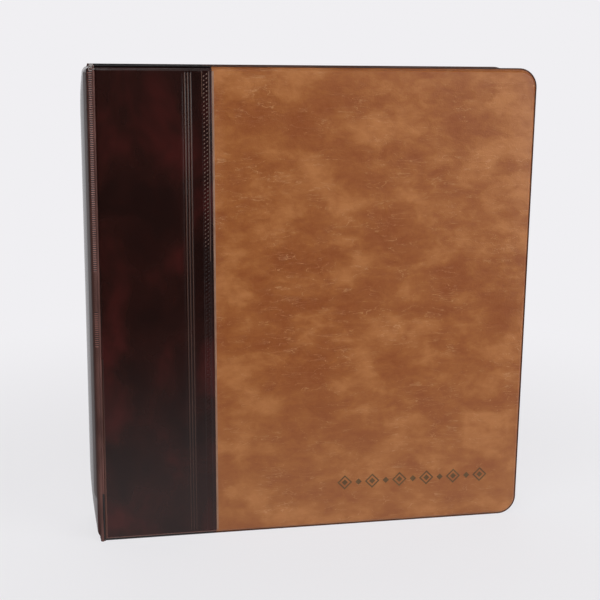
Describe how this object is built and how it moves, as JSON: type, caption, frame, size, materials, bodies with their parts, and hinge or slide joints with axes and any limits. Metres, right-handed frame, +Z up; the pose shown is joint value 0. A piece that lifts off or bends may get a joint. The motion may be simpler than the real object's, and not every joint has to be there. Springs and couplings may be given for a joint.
{
  "type": "ring binder photo album",
  "caption": "Upright padded two-tone vinyl album with a crowned spine, a sprung ring mechanism and punched picture leaves behind clear film.",
  "frame": {"origin": "middle of the base that the closed album stands on", "axes": "+X from the spine to the fore edge, +Y from the front cover to the back cover, +Z up"},
  "size_m": [0.2842, 0.052, 0.298],
  "materials": {
    "dark_vinyl": "dark brown embossed vinyl, semi-gloss",
    "tan_vinyl": "tan suede-look vinyl with a cloudy print, satin",
    "lining_vinyl": "brown inner vinyl, fine grain",
    "grey_board": "grey-brown chipboard",
    "white_foam": "soft white foam",
    "plated_steel": "nickel-plated sheet steel",
    "ring_wire": "bright nickel-plated wire",
    "page_card": "off-white card with fine adhesive lines",
    "clear_film": "clear glossy film"
  },
  "bodies": {
    "spine": {"spine_board": "grey_board", "spine_foam": "white_foam", "spine_skin": "dark_vinyl", "spine_liner": "lining_vinyl", "ring_housing": "plated_steel", "mounting_rivets": "plated_steel", "top_lever_pin": "plated_steel", "bottom_lever_pin": "plated_steel"},
    "front_cover": {"front_board": "grey_board", "front_foam": "white_foam", "front_tan_skin": "tan_vinyl", "front_dark_skin": "dark_vinyl", "front_liner": "lining_vinyl"},
    "back_cover": {"back_board": "grey_board", "back_foam": "white_foam", "back_tan_skin": "tan_vinyl", "back_dark_skin": "dark_vinyl", "back_liner": "lining_vinyl"},
    "front_rings": {"front_blade": "plated_steel", "ring_1_front_half": "ring_wire", "ring_2_front_half": "ring_wire", "ring_3_front_half": "ring_wire"},
    "back_rings": {"back_blade": "plated_steel", "ring_1_back_half": "ring_wire", "ring_2_back_half": "ring_wire", "ring_3_back_half": "ring_wire"},
    "upper_lever": {"top_lever": "plated_steel"},
    "lower_lever": {"bottom_lever": "plated_steel"},
    "leaf_01": {"leaf_01_card": "page_card", "leaf_01_films": "clear_film"},
    "leaf_02": {"leaf_02_card": "page_card", "leaf_02_films": "clear_film"},
    "leaf_03": {"leaf_03_card": "page_card", "leaf_03_films": "clear_film"},
    "leaf_04": {"leaf_04_card": "page_card", "leaf_04_films": "clear_film"},
    "leaf_05": {"leaf_05_card": "page_card", "leaf_05_films": "clear_film"},
    "leaf_06": {"leaf_06_card": "page_card", "leaf_06_films": "clear_film"},
    "leaf_07": {"leaf_07_card": "page_card", "leaf_07_films": "clear_film"},
    "leaf_08": {"leaf_08_card": "page_card", "leaf_08_films": "clear_film"},
    "leaf_09": {"leaf_09_card": "page_card", "leaf_09_films": "clear_film"},
    "leaf_10": {"leaf_10_card": "page_card", "leaf_10_films": "clear_film"},
    "leaf_11": {"leaf_11_card": "page_card", "leaf_11_films": "clear_film"},
    "leaf_12": {"leaf_12_card": "page_card", "leaf_12_films": "clear_film"}
  },
  "joints": [
    {"name": "front_hinge", "type": "hinge", "parent": "spine", "child": "front_cover", "pos_m": [-0.13803, -0.02505, 0.149], "axis": [0, 0, -1], "range_deg": [0, 180]},
    {"name": "back_hinge", "type": "hinge", "parent": "spine", "child": "back_cover", "pos_m": [-0.13803, 0.02505, 0.149], "axis": [0, 0, 1], "range_deg": [0, 180]},
    {"name": "front_rings_swing", "type": "hinge", "parent": "spine", "child": "front_rings", "pos_m": [-0.13068, -0.01085, 0.149], "axis": [0, 0, -1], "range_deg": [0, 5]},
    {"name": "back_rings_swing", "type": "hinge", "parent": "spine", "child": "back_rings", "pos_m": [-0.13068, 0.01085, 0.149], "axis": [0, 0, 1], "range_deg": [0, 5]},
    {"name": "upper_lever_pivot", "type": "hinge", "parent": "spine", "child": "upper_lever", "pos_m": [-0.13068, 0, 0.28], "axis": [0, -1, 0], "range_deg": [0, 26]},
    {"name": "lower_lever_pivot", "type": "hinge", "parent": "spine", "child": "lower_lever", "pos_m": [-0.13068, 0, 0.018], "axis": [0, 1, 0], "range_deg": [0, 26]},
    {"name": "leaf_01_turn", "type": "hinge", "parent": "spine", "child": "leaf_01", "pos_m": [-0.11221, 0, 0.149], "axis": [0, 0, -1], "range_deg": [0, 85]},
    {"name": "leaf_02_turn", "type": "hinge", "parent": "spine", "child": "leaf_02", "pos_m": [-0.11221, 0, 0.149], "axis": [0, 0, -1], "range_deg": [0, 71]},
    {"name": "leaf_03_turn", "type": "hinge", "parent": "spine", "child": "leaf_03", "pos_m": [-0.11221, 0, 0.149], "axis": [0, 0, -1], "range_deg": [0, 57]},
    {"name": "leaf_04_turn", "type": "hinge", "parent": "spine", "child": "leaf_04", "pos_m": [-0.11221, 0, 0.149], "axis": [0, 0, -1], "range_deg": [0, 43]},
    {"name": "leaf_05_turn", "type": "hinge", "parent": "spine", "child": "leaf_05", "pos_m": [-0.11221, 0, 0.149], "axis": [0, 0, -1], "range_deg": [0, 29]},
    {"name": "leaf_06_turn", "type": "hinge", "parent": "spine", "child": "leaf_06", "pos_m": [-0.11221, 0, 0.149], "axis": [0, 0, -1], "range_deg": [0, 14]},
    {"name": "leaf_07_turn", "type": "hinge", "parent": "spine", "child": "leaf_07", "pos_m": [-0.11221, 0, 0.149], "axis": [0, 0, 1], "range_deg": [0, 14]},
    {"name": "leaf_08_turn", "type": "hinge", "parent": "spine", "child": "leaf_08", "pos_m": [-0.11221, 0, 0.149], "axis": [0, 0, 1], "range_deg": [0, 29]},
    {"name": "leaf_09_turn", "type": "hinge", "parent": "spine", "child": "leaf_09", "pos_m": [-0.11221, 0, 0.149], "axis": [0, 0, 1], "range_deg": [0, 43]},
    {"name": "leaf_10_turn", "type": "hinge", "parent": "spine", "child": "leaf_10", "pos_m": [-0.11221, 0, 0.149], "axis": [0, 0, 1], "range_deg": [0, 57]},
    {"name": "leaf_11_turn", "type": "hinge", "parent": "spine", "child": "leaf_11", "pos_m": [-0.11221, 0, 0.149], "axis": [0, 0, 1], "range_deg": [0, 71]},
    {"name": "leaf_12_turn", "type": "hinge", "parent": "spine", "child": "leaf_12", "pos_m": [-0.11221, 0, 0.149], "axis": [0, 0, 1], "range_deg": [0, 85]}
  ],
  "couplings": [
    {"joint": "back_rings_swing", "follows": "front_rings_swing", "ratio": 1},
    {"joint": "upper_lever_pivot", "follows": "front_rings_swing", "ratio": 5.199},
    {"joint": "lower_lever_pivot", "follows": "front_rings_swing", "ratio": 5.199},
    {"joint": "leaf_01_turn", "follows": "front_hinge", "ratio": 0.4722},
    {"joint": "leaf_02_turn", "follows": "front_hinge", "ratio": 0.3944},
    {"joint": "leaf_03_turn", "follows": "front_hinge", "ratio": 0.3166},
    {"joint": "leaf_04_turn", "follows": "front_hinge", "ratio": 0.2388},
    {"joint": "leaf_05_turn", "follows": "front_hinge", "ratio": 0.1611},
    {"joint": "leaf_06_turn", "follows": "front_hinge", "ratio": 0.0777},
    {"joint": "leaf_07_turn", "follows": "back_hinge", "ratio": 0.0777},
    {"joint": "leaf_08_turn", "follows": "back_hinge", "ratio": 0.1611},
    {"joint": "leaf_09_turn", "follows": "back_hinge", "ratio": 0.2388},
    {"joint": "leaf_10_turn", "follows": "back_hinge", "ratio": 0.3166},
    {"joint": "leaf_11_turn", "follows": "back_hinge", "ratio": 0.3944},
    {"joint": "leaf_12_turn", "follows": "back_hinge", "ratio": 0.4722}
  ]
}
